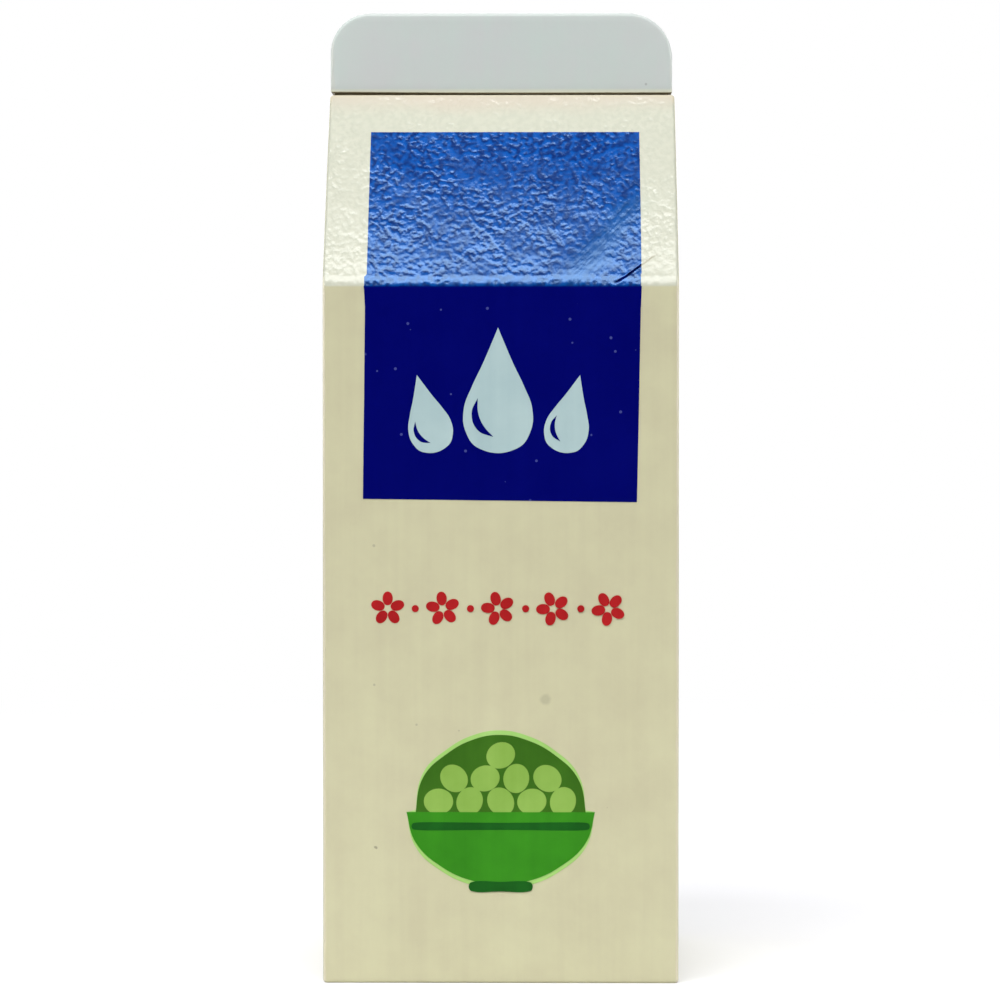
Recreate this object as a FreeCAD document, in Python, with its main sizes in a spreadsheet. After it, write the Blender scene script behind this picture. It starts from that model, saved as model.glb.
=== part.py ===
"""Wooden toy soy milk carton: a painted block with a gable roof, and a separate board on its ridge.

Millimetres, +Z up, origin at the middle of the base, printed front facing -Y.
"""

import FreeCAD
import Part
import Sketcher
import os

doc = FreeCAD.newDocument("toy_carton")

# ---------------------------------------------------------------- driving dimensions
SIZES = [
    ("block_width", 40.0, "block, left to right"),
    ("block_depth", 40.0, "block, front to back"),
    ("shoulder_height", 79.0, "base to where the walls meet the roof"),
    ("roof_rise", 22.1, "shoulder to the flat that carries the board"),
    ("shoulder_radius", 2.2, "sanded edge between wall and roof slope"),
    ("ridge_radius", 0.6, "edge between roof slope and top flat"),
    ("base_radius", 0.3, "front and back edges of the base"),
    ("side_radius", 0.4, "all edges round the two side walls"),
    ("board_thickness", 7.0, "ridge board, front to back"),
    ("board_height", 9.2, "ridge board above its seam"),
    ("board_corner", 4.6, "large rounded top corners of the board"),
    ("board_foot_corner", 0.3, "small rounded lower corners of the board"),
    ("board_edge", 0.4, "sanded edges round the board's front and back"),
    ("board_end_margin", 0.1, "board stops this far inside each side wall"),
    ("flat_margin", 0.2, "top flat runs this far past the board, front and back"),
    ("seam_gap", 0.3, "open seam between board and block"),
    ("seam_inset", 0.8, "how deep the open seam runs in under the board"),
]


def make_sheet():
    """Spreadsheet whose aliases drive every feature."""
    made = doc.addObject("Spreadsheet::Sheet", "Sizes")
    for row, (alias, value, note) in enumerate(SIZES, start=1):
        made.set(f"A{row}", alias)
        made.set(f"B{row}", str(value))
        made.set(f"C{row}", note)
        made.setAlias(f"B{row}", alias)
    doc.recompute()
    return made


sheet = make_sheet()

# ---------------------------------------------------------------- sketch helpers
ORIGIN_POINT = (-1, 1)  # geometry number and point number of a sketch's own origin
HORIZONTAL_AXIS = -1
VERTICAL_AXIS = -2


def new_sketch(body, name, role):
    """An empty sketch on the body's own origin plane with this role, such as YZ_Plane."""
    plane = next(item for item in body.Origin.OriginFeatures if item.Role == role)
    sketch = body.newObject("Sketcher::SketchObject", name)
    sketch.AttachmentSupport = [(plane, "")]
    sketch.MapMode = "FlatFace"
    return sketch


def closed_outline(sketch, corners):
    """Closed ring of lines through the corners; line n runs from corner n to corner n + 1."""
    points = [FreeCAD.Vector(x, y, 0) for x, y in corners]
    for start, end in zip(points, points[1:] + points[:1]):
        sketch.addGeometry(Part.LineSegment(start, end), False)
    count = len(points)
    for line in range(count):
        sketch.addConstraint(Sketcher.Constraint("Coincident", line, 2, (line + 1) % count, 1))


def stand_upright(sketch, lines):
    """Keeps these lines parallel to the sketch's vertical axis."""
    for line in lines:
        sketch.addConstraint(Sketcher.Constraint("Vertical", line))


def centre_line(sketch, line):
    """Keeps the line level, with its middle on the sketch's vertical axis."""
    sketch.addConstraint(Sketcher.Constraint("Symmetric", line, 1, line, 2, VERTICAL_AXIS))


def bind_distance(sketch, direction, first, second, name, expression):
    """Adds a named distance between two sketch points and drives it from the sheet."""
    index = sketch.addConstraint(Sketcher.Constraint(f"Distance{direction}", *first, *second, 1.0))
    sketch.renameConstraint(index, name)
    sketch.setExpression(f".Constraints.{name}", expression)


def centred_rectangle(body, name, role, width, low, high):
    """Rectangle centred on the sketch's vertical axis; width, low and high are expressions."""
    sketch = new_sketch(body, name, role)
    closed_outline(sketch, [(-1, 0), (1, 0), (1, 1), (-1, 1)])
    bottom, right, top, left = range(4)
    centre_line(sketch, bottom)
    sketch.addConstraint(Sketcher.Constraint("Horizontal", top))
    stand_upright(sketch, (right, left))
    bind_distance(sketch, "X", (bottom, 1), (bottom, 2), "width", width)
    bind_distance(sketch, "Y", ORIGIN_POINT, (bottom, 1), "low", low)
    bind_distance(sketch, "Y", ORIGIN_POINT, (top, 1), "high", high)
    return sketch


# ---------------------------------------------------------------- feature helpers
AXES = {"x": FreeCAD.Vector(1, 0, 0), "y": FreeCAD.Vector(0, 1, 0)}
TOUCH = 1e-4  # two places this near count as one, millimetres


def centred_pad(body, name, sketch, length):
    """Pads the sketch by half the length to each side of its plane."""
    pad = body.newObject("PartDesign::Pad", name)
    pad.Profile = sketch
    pad.SideType = "Symmetric"
    pad.setExpression("Length", length)
    doc.recompute()
    return pad


def edge_names(shape, wanted):
    """Names of the edges that pass the test."""
    return [f"Edge{n}" for n, edge in enumerate(shape.Edges, start=1) if wanted(edge)]


def straight_edges(shape, axis, height):
    """Names of the straight edges that run along the axis at this height."""

    def wanted(edge):
        if not isinstance(edge.Curve, Part.Line) or abs(edge.CenterOfMass.z - height) > TOUCH:
            return False
        return abs(abs(edge.Curve.Direction.dot(AXES[axis])) - 1) < TOUCH

    return edge_names(shape, wanted)


def rim_edges(shape, axis, width):
    """Names of the edges round the two end faces that lie this width apart along the axis."""

    def wanted(edge):
        points = [vertex.Point for vertex in edge.Vertexes] + [edge.CenterOfMass]
        return all(abs(abs(point.dot(AXES[axis])) - width / 2) < TOUCH for point in points)

    return edge_names(shape, wanted)


def round_edges(body, name, names, radius):
    """Fillets the named edges of the body's newest feature."""
    base = body.Tip
    fillet = body.newObject("PartDesign::Fillet", name)
    fillet.Base = (base, names)
    fillet.setExpression("Radius", radius)
    doc.recompute()
    return fillet


# ---------------------------------------------------------------- the block
def house_outline(body):
    """Side view of the block: walls, two roof slopes and the flat that carries the board."""
    sketch = new_sketch(body, "HouseOutline", "YZ_Plane")
    closed_outline(sketch, [(-20, 0), (20, 0), (20, 79), (4, 101), (-4, 101), (-20, 79)])
    base, wall, _, flat, _, far_wall = range(6)
    sketch.addConstraint(Sketcher.Constraint("PointOnObject", base, 1, HORIZONTAL_AXIS))
    centre_line(sketch, base)
    centre_line(sketch, flat)
    stand_upright(sketch, (wall, far_wall))
    sketch.addConstraint(Sketcher.Constraint("Equal", wall, far_wall))
    flat_depth = "Sizes.board_thickness + 2 * Sizes.flat_margin"
    bind_distance(sketch, "X", (base, 1), (base, 2), "depth", "Sizes.block_depth")
    bind_distance(sketch, "Y", (wall, 1), (wall, 2), "wall", "Sizes.shoulder_height")
    bind_distance(sketch, "X", (flat, 2), (flat, 1), "flat", flat_depth)
    bind_distance(sketch, "Y", (wall, 2), (flat, 1), "rise", "Sizes.roof_rise")
    return sketch


def make_block():
    """The solid wood block, with each kind of edge sanded to its own radius."""
    body = doc.addObject("PartDesign::Body", "CartonBlock")
    body.Label = "carton_block"
    newest = centred_pad(body, "BlockPad", house_outline(body), "Sizes.block_width")
    levels = [
        ("ShoulderEdges", sheet.shoulder_height, "Sizes.shoulder_radius"),
        ("RidgeEdges", sheet.shoulder_height + sheet.roof_rise, "Sizes.ridge_radius"),
        ("BaseEdges", 0.0, "Sizes.base_radius"),
    ]
    for name, height, radius in levels:
        newest = round_edges(body, name, straight_edges(newest.Shape, "x", height), radius)
    rims = rim_edges(newest.Shape, "x", sheet.block_width)
    round_edges(body, "SideEdges", rims, "Sizes.side_radius")
    return body


# ---------------------------------------------------------------- the ridge board
def make_board():
    """The board along the ridge. Its narrower foot stands on the block and leaves the open seam."""
    body = doc.addObject("PartDesign::Body", "RidgeBoard")
    body.Label = "ridge_board"
    width = "Sizes.block_width - 2 * Sizes.board_end_margin"
    outline = centred_rectangle(body, "BoardOutline", "XZ_Plane", width, "0", "Sizes.board_height")
    newest = centred_pad(body, "BoardPad", outline, "Sizes.board_thickness")
    corners = [
        ("TopCorners", sheet.board_height, "Sizes.board_corner"),
        ("FootCorners", 0.0, "Sizes.board_foot_corner"),
    ]
    for name, height, radius in corners:
        newest = round_edges(body, name, straight_edges(newest.Shape, "y", height), radius)
    rims = rim_edges(newest.Shape, "y", sheet.board_thickness)
    round_edges(body, "BoardEdges", rims, "Sizes.board_edge")
    foot_width = f"{width} - 2 * Sizes.seam_inset"
    foot_outline = centred_rectangle(
        body, "FootOutline", "XZ_Plane", foot_width, "-Sizes.seam_gap", "Sizes.board_edge"
    )
    centred_pad(body, "FootPad", foot_outline, "Sizes.board_thickness - 2 * Sizes.seam_inset")
    seat = "Sizes.shoulder_height + Sizes.roof_rise + Sizes.seam_gap"
    body.setExpression(".Placement.Base.z", seat)
    return body


# ---------------------------------------------------------------- build, check and write
def check(bodies):
    """Stops the build if a feature failed or a solid is not sound."""
    failed = [item.Name for item in doc.Objects if {"Invalid", "Error"} & set(item.State)]
    if failed:
        raise RuntimeError(f"features failed: {failed}")
    for body in bodies:
        shape = body.Shape
        if shape.isNull() or not shape.isValid() or len(shape.Solids) != 1:
            raise RuntimeError(f"{body.Label} is not one valid solid")


parts = [make_block(), make_board()]
doc.recompute()
check(parts)
os.makedirs("parts", exist_ok=True)
for part in parts:
    part.Shape.exportStep(f"parts/{part.Label}.step")
    print(f"{part.Label}: {part.Shape.Volume:.1f} cubic millimetres")
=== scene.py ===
import math

import bmesh
import bpy
from mathutils import Matrix, Vector


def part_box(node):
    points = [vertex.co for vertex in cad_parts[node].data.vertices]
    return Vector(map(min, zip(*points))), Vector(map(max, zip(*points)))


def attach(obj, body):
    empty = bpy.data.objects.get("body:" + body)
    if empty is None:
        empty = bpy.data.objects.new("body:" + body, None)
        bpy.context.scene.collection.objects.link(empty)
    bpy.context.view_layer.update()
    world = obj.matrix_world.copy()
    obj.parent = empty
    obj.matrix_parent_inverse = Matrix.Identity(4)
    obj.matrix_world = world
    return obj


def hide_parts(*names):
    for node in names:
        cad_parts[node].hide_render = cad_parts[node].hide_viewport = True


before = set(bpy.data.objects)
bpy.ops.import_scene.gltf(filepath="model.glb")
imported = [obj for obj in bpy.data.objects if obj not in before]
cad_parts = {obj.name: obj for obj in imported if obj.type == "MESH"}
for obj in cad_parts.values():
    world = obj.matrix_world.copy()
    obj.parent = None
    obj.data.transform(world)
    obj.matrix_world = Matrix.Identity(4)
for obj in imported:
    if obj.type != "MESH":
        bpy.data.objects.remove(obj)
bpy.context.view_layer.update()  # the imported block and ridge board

mm = 0.001  # lengths below are written as millimetres times this, so they are metres
blockLow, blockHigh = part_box("carton_block")
boardLow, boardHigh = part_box("ridge_board")


def pickPiece(piece):
    bpy.ops.object.select_all(action="DESELECT")
    piece.select_set(True)
    bpy.context.view_layer.objects.active = piece


def editPiece(piece):
    pickPiece(piece)
    bpy.ops.object.mode_set(mode="EDIT")


def endEditing():
    bpy.ops.object.mode_set(mode="OBJECT")


def addBox(name, low, high):
    bpy.ops.object.select_all(action="DESELECT")
    bpy.ops.mesh.primitive_cube_add(size=1, location=(low + high) / 2, scale=high - low)
    bpy.ops.object.transform_apply()
    piece = bpy.context.object
    piece.name = name
    return piece


def pickWhere(kind, test):  # selects the edges or faces of the piece being edited that pass the test
    bpy.ops.mesh.select_mode(type=kind)
    bpy.ops.mesh.select_all(action="DESELECT")
    mesh = bpy.context.object.data
    shape = bmesh.from_edit_mesh(mesh)
    for element in shape.edges if kind == "EDGE" else shape.faces:
        if test(element):
            element.select_set(True)
    bmesh.update_edit_mesh(mesh)


def pickEdges(test):  # the test gets an edge's two ends
    pickWhere("EDGE", lambda edge: test(edge.verts[0].co, edge.verts[1].co))


def pickFaces(test):  # the test gets a face's middle and normal
    pickWhere("FACE", lambda face: test(face.calc_center_median(), face.normal))


near = 0.01 * mm  # two places this close count as one
longEdge = 5 * mm  # only the edges across the whole front or side are longer


def runsAlong(axis, first, second, shortest):  # a straight edge along x, y or z, longer than this
    gap = second - first
    return abs(gap[axis]) > shortest and gap.length - abs(gap[axis]) < near


def roundPicked(radius, turn, segments):  # turn is the angle between the two faces' normals
    bpy.ops.mesh.bevel(
        offset_type="OFFSET",
        offset=radius * math.tan(turn / 2),
        segments=segments,
        profile=0.5,
        clamp_overlap=False,
    )


def cutPicked(place, direction):  # cuts the selected faces along a plane
    bpy.ops.mesh.bisect(plane_co=place, plane_no=direction, threshold=0.0001 * mm)


def cutAll(axis, places):  # cuts all the way round, square to x, y or z
    direction = Vector([number == axis for number in range(3)])
    for place in places:
        bpy.ops.mesh.select_all(action="SELECT")
        cutPicked(direction * place, direction)


def evenLevels(low, high, step):
    count = math.ceil((high - low) / step)
    return [low + (high - low) * n / count for n in range(count + 1)]


def applyModifiers(piece):
    pickPiece(piece)
    for modifier in list(piece.modifiers):
        bpy.ops.object.modifier_apply(modifier=modifier.name)


def smoothShade(piece, angle):
    pickPiece(piece)
    bpy.ops.object.shade_smooth_by_angle(angle=math.radians(angle))


def ramp(value, start, end):  # 0 at start, 1 at end, straight between
    return min(1, max(0, (value - start) / (end - start)))


def finishPiece(piece, material, slot, *nodes):
    piece.data.materials.clear()
    piece.data.materials.append(material)
    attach(piece, "root")
    if nodes:
        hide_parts(*nodes)


block = {
    "shoulderHeight": 79.0 * mm,  # base to where the walls meet the roof
    "flatHalf": 3.7 * mm,  # half the depth of the flat that carries the board
    "shoulderRadius": 2.2 * mm,
    "ridgeRadius": 0.6 * mm,
    "baseRadius": 0.3 * mm,
    "sideRadius": 0.4 * mm,
    "column": 0.22 * mm,  # mesh spacing across the front
    "roofRow": 0.14 * mm,  # mesh spacing up the roof slopes, fine enough for the ripples
    "wallRow": 3 * mm,
    "sideColumns": 14,
    "guard": 0.3 * mm,  # a row just off each rounding keeps the flats flat
    "roofStart": (-0.6 * mm, 0.9 * mm),  # the relief fades in between these, from the shoulder up
    "rimFade": (0.2 * mm, 1.2 * mm),  # and out towards the ridge and the side edges
    "printRoom": 0.11 * mm,  # front and back stand this far in, which leaves room for the prints
    "crown": 0.6 * mm,  # the slopes are sanded slightly round
    "swell": (6 * mm, 1, 0.14 * mm),  # slow unevenness: size, stretch from left to right, depth
    "ripple": (0.8 * mm, 0.85, 0.03 * mm),  # end grain under the paint
}
wallY = blockHigh.y - block["printRoom"]
frontY = -wallY  # the printed front looks along -Y
roofRise = blockHigh.z - block["shoulderHeight"]
roofRun = wallY - block["flatHalf"]
roofPitch = math.atan2(roofRise, roofRun)  # above level


def shapeGable(piece):
    editPiece(piece)
    pickFaces(lambda middle, normal: normal.z > 0.9)
    bpy.ops.mesh.extrude_region_move(TRANSFORM_OT_translate={"value": (0, 0, roofRise)})
    shrink = block["flatHalf"] / wallY
    bpy.ops.transform.resize(value=(1, shrink, 1), center_override=(0, 0, blockHigh.z))
    seam = block["shoulderHeight"]
    pickEdges(lambda a, b: runsAlong(1, a, b, mm) and abs(a.z - seam) < near)
    bpy.ops.mesh.dissolve_edges(use_verts=False)  # each side wall is one face again
    endEditing()


def roundBlock(piece):
    top, seam = blockHigh.z, block["shoulderHeight"]
    half = blockHigh.x
    editPiece(piece)
    pickEdges(lambda a, b: runsAlong(0, a, b, mm) and abs(a.z - seam) < near)
    roundPicked(block["shoulderRadius"], math.pi / 2 - roofPitch, segments=8)
    pickEdges(lambda a, b: runsAlong(0, a, b, mm) and abs(a.z - top) < near)
    roundPicked(block["ridgeRadius"], roofPitch, segments=4)
    pickEdges(lambda a, b: runsAlong(0, a, b, mm) and abs(a.z) < near)
    roundPicked(block["baseRadius"], math.pi / 2, segments=4)
    pickEdges(lambda a, b: abs(abs(a.x) - half) < near and abs(a.x - b.x) < near)
    roundPicked(block["sideRadius"], math.pi / 2, segments=5)
    endEditing()


def gridBlock(piece):
    bend = (math.pi / 2 - roofPitch) / 2
    reach = block["shoulderRadius"] * math.tan(bend)  # the rounding starts this far off
    wallTop = block["shoulderHeight"] - reach
    guard = block["guard"]
    walls = evenLevels(block["baseRadius"] + guard, wallTop - guard, block["wallRow"])
    lowRoof = block["shoulderHeight"] + reach * math.sin(roofPitch)
    highRoof = blockHigh.z - block["ridgeRadius"] * math.tan(roofPitch / 2) * math.sin(roofPitch)
    step = block["roofRow"] * math.sin(roofPitch)
    roof = evenLevels(lowRoof + step, highRoof - step, step)
    editPiece(piece)
    cutAll(2, walls + roof)
    rim = blockHigh.x - block["sideRadius"] - near
    pickEdges(lambda a, b: runsAlong(1, a, b, longEdge) and abs(a.x) > rim)
    bpy.ops.mesh.subdivide(number_cuts=block["sideColumns"] - 1)
    pickEdges(lambda a, b: runsAlong(0, a, b, longEdge))
    bpy.ops.mesh.subdivide(number_cuts=round(2 * rim / block["column"]) - 1)
    endEditing()


def groupByPlace(piece, name, weigh):  # a vertex group whose weights follow the place
    group = piece.vertex_groups.new(name=name)
    for vertex in piece.data.vertices:
        weight = weigh(vertex.co)
        if weight > 0:
            group.add([vertex.index], weight, "REPLACE")


def roofWeight(place):  # 1 on the slopes, 0 on the walls, the ridge and the side edges
    seam = block["shoulderHeight"]
    start, full = block["roofStart"]
    rim, flat = block["rimFade"]
    upRoof = ramp(place.z, seam + start, seam + full)
    underRidge = ramp(place.z, blockHigh.z - rim, blockHigh.z - flat)
    inside = ramp(abs(place.x), blockHigh.x - rim, blockHigh.x - flat)
    return upRoof * underRidge * inside


def crownWeight(place):  # 0 at the shoulder and the ridge, 1 half way up the slope
    share = ramp(place.z, block["shoulderHeight"], blockHigh.z)
    return 4 * share * (1 - share) * (place.z > block["shoulderHeight"])


torn = {  # a low swelling where the grain has torn, at the lower right of the front slope
    "start": Vector((7.4, 79.0)) * mm,
    "end": Vector((16.6, 89.0)) * mm,
    "width": 1.9 * mm,
    "height": 0.09 * mm,
    "fade": 2 * mm,  # from its start upwards
}


def tornWeight(place):
    along = (torn["end"] - torn["start"]).normalized()
    out = Vector((place.x, place.z)) - torn["start"]
    across = along.x * out.y - along.y * out.x
    onSlope = roofWeight(place) * (place.y < 0) * ramp(out.dot(along), -torn["fade"], torn["fade"])
    return onSlope * math.exp(-((across / torn["width"]) ** 2))


def pushOut(piece, group, weigh, height, direction="NORMAL"):
    groupByPlace(piece, group, weigh)
    push = piece.modifiers.new(group, "DISPLACE")
    push.vertex_group = group
    push.direction = direction
    push.mid_level = 0
    push.strength = height
    applyModifiers(piece)


def addRelief(piece, group, size, stretch, depth):  # clouds pressed into the vertex group's part
    bpy.ops.object.select_all(action="DESELECT")
    bpy.ops.object.empty_add(scale=(stretch, 1, 1))
    ruler = bpy.context.object
    texture = bpy.data.textures.new(group, "CLOUDS")
    texture.noise_scale = size
    dent = piece.modifiers.new(group, "DISPLACE")
    dent.texture = texture
    dent.texture_coords = "OBJECT"
    dent.texture_coords_object = ruler
    dent.vertex_group = group
    dent.mid_level = 0
    dent.strength = -depth
    applyModifiers(piece)
    bpy.data.objects.remove(ruler)
    bpy.data.textures.remove(texture)


def makeBlock():
    low = Vector((blockLow.x, frontY, blockLow.z))
    piece = addBox("cartonBlock", low, Vector((blockHigh.x, wallY, block["shoulderHeight"])))
    shapeGable(piece)
    roundBlock(piece)
    gridBlock(piece)
    groupByPlace(piece, "roof", roofWeight)
    pushOut(piece, "crown", crownWeight, block["crown"], "Z")
    pushOut(piece, "torn", tornWeight, torn["height"])
    addRelief(piece, "roof", *block["swell"])
    addRelief(piece, "roof", *block["ripple"])
    smoothShade(piece, angle=40)
    print("block:", len(piece.data.polygons), "faces")
    return piece


cartonBlock = makeBlock()


board = {
    "foot": 0.3 * mm,  # open seam between board and block
    "footInset": 0.25 * mm,  # from the underside's edge to the foot
    "endTrim": (-0.05 * mm, 0.17 * mm),  # left end, right end: sanded a little differently
    "topCorners": (4.6 * mm, 5.2 * mm),
    "lowCorner": 0.2 * mm,
    "edge": 0.4 * mm,
    "lowEdge": 0.15 * mm,  # crisp where the board meets the seam
    "sag": 0.16 * mm,  # the seam is widest at its left end
    "sagBack": 0.25,  # share of the sag that is gone again at the right end
    "sagReach": 2 * mm,  # how far up the board it is felt
    "cell": 1 * mm,
}
seat = boardLow.z + board["foot"]


def sagWeight(place):  # grows towards the board's lower edge and away from its left end
    share = ramp(place.x, boardLow.x + mm, 0) - board["sagBack"] * ramp(place.x, 0, boardHigh.x)
    return share * ramp(place.z, seat + board["sagReach"], seat) * (place.z > seat - near)


def makeBoard():
    leftTrim, rightTrim = board["endTrim"]
    leftEnd, rightEnd = boardLow.x + leftTrim, boardHigh.x - rightTrim
    low = Vector((leftEnd, boardLow.y, seat))
    piece = addBox("ridgeBoard", low, Vector((rightEnd, boardHigh.y, boardHigh.z)))

    def onRim(a, b):
        return abs(abs(a.y) - boardHigh.y) < near and abs(a.y - b.y) < near

    editPiece(piece)
    for end, radius in zip((leftEnd, rightEnd), board["topCorners"]):
        corner = Vector((end, boardHigh.z))
        pickEdges(
            lambda a, b: runsAlong(1, a, b, mm)
            and abs(a.z - corner.y) + abs(a.x - corner.x) < near
        )
        roundPicked(radius, math.pi / 2, segments=14)
    pickEdges(lambda a, b: runsAlong(1, a, b, mm) and abs(a.z - seat) < near)
    roundPicked(board["lowCorner"], math.pi / 2, segments=4)
    lowRow = seat + board["lowCorner"] + near  # the front's lowest edges lie under this
    pickEdges(lambda a, b: onRim(a, b) and max(a.z, b.z) > lowRow)
    roundPicked(board["edge"], math.pi / 2, segments=5)
    pickEdges(lambda a, b: onRim(a, b) and max(a.z, b.z) < lowRow)
    roundPicked(board["lowEdge"], math.pi / 2, segments=3)
    cutAll(2, evenLevels(seat + mm, boardHigh.z - mm, board["cell"]))
    cutAll(0, evenLevels(boardLow.x + mm, boardHigh.x - mm, board["cell"]))
    pickFaces(lambda middle, normal: normal.z < -0.99 and middle.z < seat + near)
    bpy.ops.mesh.inset(thickness=board["footInset"], use_even_offset=True)
    bpy.ops.mesh.extrude_region_move(TRANSFORM_OT_translate={"value": (0, 0, -board["foot"])})
    endEditing()
    pushOut(piece, "sag", sagWeight, -board["sag"], "Z")
    smoothShade(piece, angle=40)
    print("board:", len(piece.data.polygons), "faces")
    return piece


ridgeBoard = makeBoard()


# the navy print is lifted off the block's own faces, so that it follows every ripple
navy = {
    "edges": [  # height, left edge, right edge
        (54.35 * mm, -15.48 * mm, 15.29 * mm),
        (65.6 * mm, -15.34 * mm, 15.52 * mm),
        (76.0 * mm, -15.23 * mm, 15.7 * mm),
        (78.4 * mm, -15.38 * mm, 15.81 * mm),
        (79.1 * mm, -15.43 * mm, 15.76 * mm),
        (79.8 * mm, -15.05 * mm, 15.8 * mm),
        (96.5 * mm, -15.09 * mm, 15.82 * mm),
    ],
    "tilt": -0.012,  # rise of the bottom edge from left to right, over its length
    "margin": 1 * mm,  # how far round an edge the block's faces are cut
    "thickness": 0.05 * mm,
    "share": 0.2,  # -1 lies wholly inside the paint, 1 wholly on it
}


def edgeAt(column, height):  # where the print's left (1) or right (2) edge is at this height
    rows = navy["edges"]
    for low, high in zip(rows, rows[1:]):
        if height <= high[0]:
            break
    share = (height - low[0]) / (high[0] - low[0])
    return low[column] + share * (high[column] - low[column])


def liftNavy(piece, name, facing):  # facing -1 is the front, 1 the back
    bottom, top = navy["edges"][0][0], navy["edges"][-1][0]
    margin = navy["margin"]
    reach = 4 * margin

    def onWall(middle, normal):
        return normal.y * facing > 0.2 and bottom - reach < middle.z < top + margin

    editPiece(piece)
    for level in [row[0] for row in navy["edges"]]:
        pickFaces(lambda middle, normal: onWall(middle, normal) and abs(middle.z - level) < reach)
        rise = navy["tilt"] if level == bottom else 0
        cutPicked((0, 0, level), (rise * facing, 0, 1))
    for low, high in zip(navy["edges"], navy["edges"][1:]):
        for column in (1, 2):
            start = Vector((-facing * low[column], 0, low[0]))
            along = Vector((-facing * high[column], 0, high[0])) - start
            spill = reach * (low[0] == bottom)  # the bottom edge is tilted
            pickFaces(
                lambda middle, normal: onWall(middle, normal)
                and low[0] - spill < middle.z < high[0]
                and abs(middle.x - start.x) < margin
            )
            cutPicked(start, (along.z, 0, -along.x))

    def printed(middle, normal):
        across = -facing * middle.x
        foot = bottom + navy["tilt"] * across
        inside = onWall(middle, normal) and foot < middle.z < top
        return inside and edgeAt(1, middle.z) < across < edgeAt(2, middle.z)

    pickFaces(printed)
    bpy.ops.mesh.duplicate()
    bpy.ops.mesh.separate(type="SELECTED")
    endEditing()
    inked = next(found for found in bpy.context.selected_objects if found != piece)
    inked.name = name
    inked.vertex_groups.clear()
    skin = inked.modifiers.new("skin", "SOLIDIFY")
    skin.thickness = navy["thickness"]
    skin.offset = navy["share"]
    applyModifiers(inked)
    smoothShade(inked, angle=40)
    print(name + ":", len(inked.data.polygons), "faces")
    return inked


navyFront = liftNavy(cartonBlock, "navyFront", -1)
navyBack = liftNavy(cartonBlock, "navyBack", 1)


# the flat inks are closed outlines, drawn on the front and repeated on the back
def ribbon(centre, widths, low=-0.5, high=0.5):  # outline of a band of changing width along a line
    points = [Vector(point) for point in centre]
    left, right = [], []
    for index, point in enumerate(points):
        before, after = points[max(index - 1, 0)], points[min(index + 1, len(points) - 1)]
        along = (after - before).normalized()
        across = Vector((-along.y, along.x))
        left.append(point + across * widths[index] * high)
        right.append(point + across * widths[index] * low)
    sharp = [index for index, width in enumerate(widths) if width == 0]
    back = [point for index, point in enumerate(left) if index not in sharp]
    return [(point, index in sharp) for index, point in enumerate(right + back[::-1])]


def drawOutline(outline, bottom, top):  # one closed shape between two heights over the front
    bpy.ops.object.select_all(action="DESELECT")
    bpy.ops.curve.primitive_bezier_circle_add()
    flat = bpy.context.object.data
    flat.splines.clear()
    flat.dimensions = "2D"
    flat.fill_mode = "BOTH"
    flat.resolution_u = 10
    flat.extrude = (top - bottom) / 2
    spline = flat.splines.new("BEZIER")
    spline.bezier_points.add(len(outline) - 1)
    spline.use_cyclic_u = True
    for knot, (place, sharp) in zip(spline.bezier_points, outline):
        knot.co = (place[0], place[1], 0)
        kind = "VECTOR" if sharp else "AUTO"
        knot.handle_left_type = kind
        knot.handle_right_type = kind
    bpy.ops.object.convert(target="MESH")
    shape = bpy.context.object
    shape.location.y = frontY - (top + bottom) / 2
    shape.rotation_euler.x = math.pi / 2
    bpy.ops.object.transform_apply()
    return shape


shapeLift = 0.002 * mm  # shapes of one ink that overlap lie one over the other


def drawShapes(name, outlines, bottom, top):
    shapes = []
    for number, outline in enumerate(outlines):
        shapes.append(drawOutline(outline, bottom, top + number * shapeLift))
    bpy.ops.object.select_all(action="DESELECT")
    for shape in shapes:
        shape.select_set(True)
    bpy.context.view_layer.objects.active = shapes[0]
    if len(shapes) > 1:
        bpy.ops.object.join()
    drawing = shapes[0]
    drawing.name = name
    editPiece(drawing)
    bpy.ops.mesh.select_all(action="SELECT")
    bpy.ops.mesh.remove_doubles(threshold=0.0005 * mm)
    bpy.ops.mesh.normals_make_consistent(inside=False)
    bpy.ops.mesh.duplicate()
    bpy.ops.transform.rotate(value=math.pi, orient_axis="Z", center_override=(0, 0, 0))
    endEditing()
    smoothShade(drawing, angle=30)
    print(name + ":", len(drawing.data.polygons), "faces")
    return drawing


def oval(middle, length, width, turn):  # four round points
    along = Vector((math.cos(turn), math.sin(turn))) * length / 2
    across = Vector((-math.sin(turn), math.cos(turn))) * width / 2
    return [(Vector(middle) + reach, False) for reach in (along, across, -along, -across)]


def placed(outline, turn, size, place):
    spin = Matrix.Rotation(turn, 2)
    return [(spin @ point * size + Vector(place), sharp) for point, sharp in outline]


drops = {
    "spine": [(0, 8.8), (0, 7.0), (0, 4.8), (0, 2.5), (0, 0), (0, -2.4), (0, -4.2)],
    "widths": [0, 1.5, 3.4, 5.6, 7.4, 7.0, 4.2],
    "sheen": [(-2.2, 1.2), (-2.5, -0.4), (-1.9, -2.0), (-0.5, -3.0)],
    "sheenWidths": [0, 0.7, 0.8, 0],
    "places": [  # middle of the round part, turn from upright, size
        ((-0.3, 64.6), 0, 1.04),
        ((-8.0, 62.8), 14, 0.66),
        ((7.5, 62.8), -14, 0.66),
    ],
    "bottom": 0.01 * mm,
    "top": 0.06 * mm,
    "sheenTop": 0.075 * mm,
}


def inMillimetres(points):
    return [Vector(point) * mm for point in points]


def widthsOf(widths, more=0):  # a pointed end stays pointed
    return [(width + more) * mm if width else 0 for width in widths]


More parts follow.
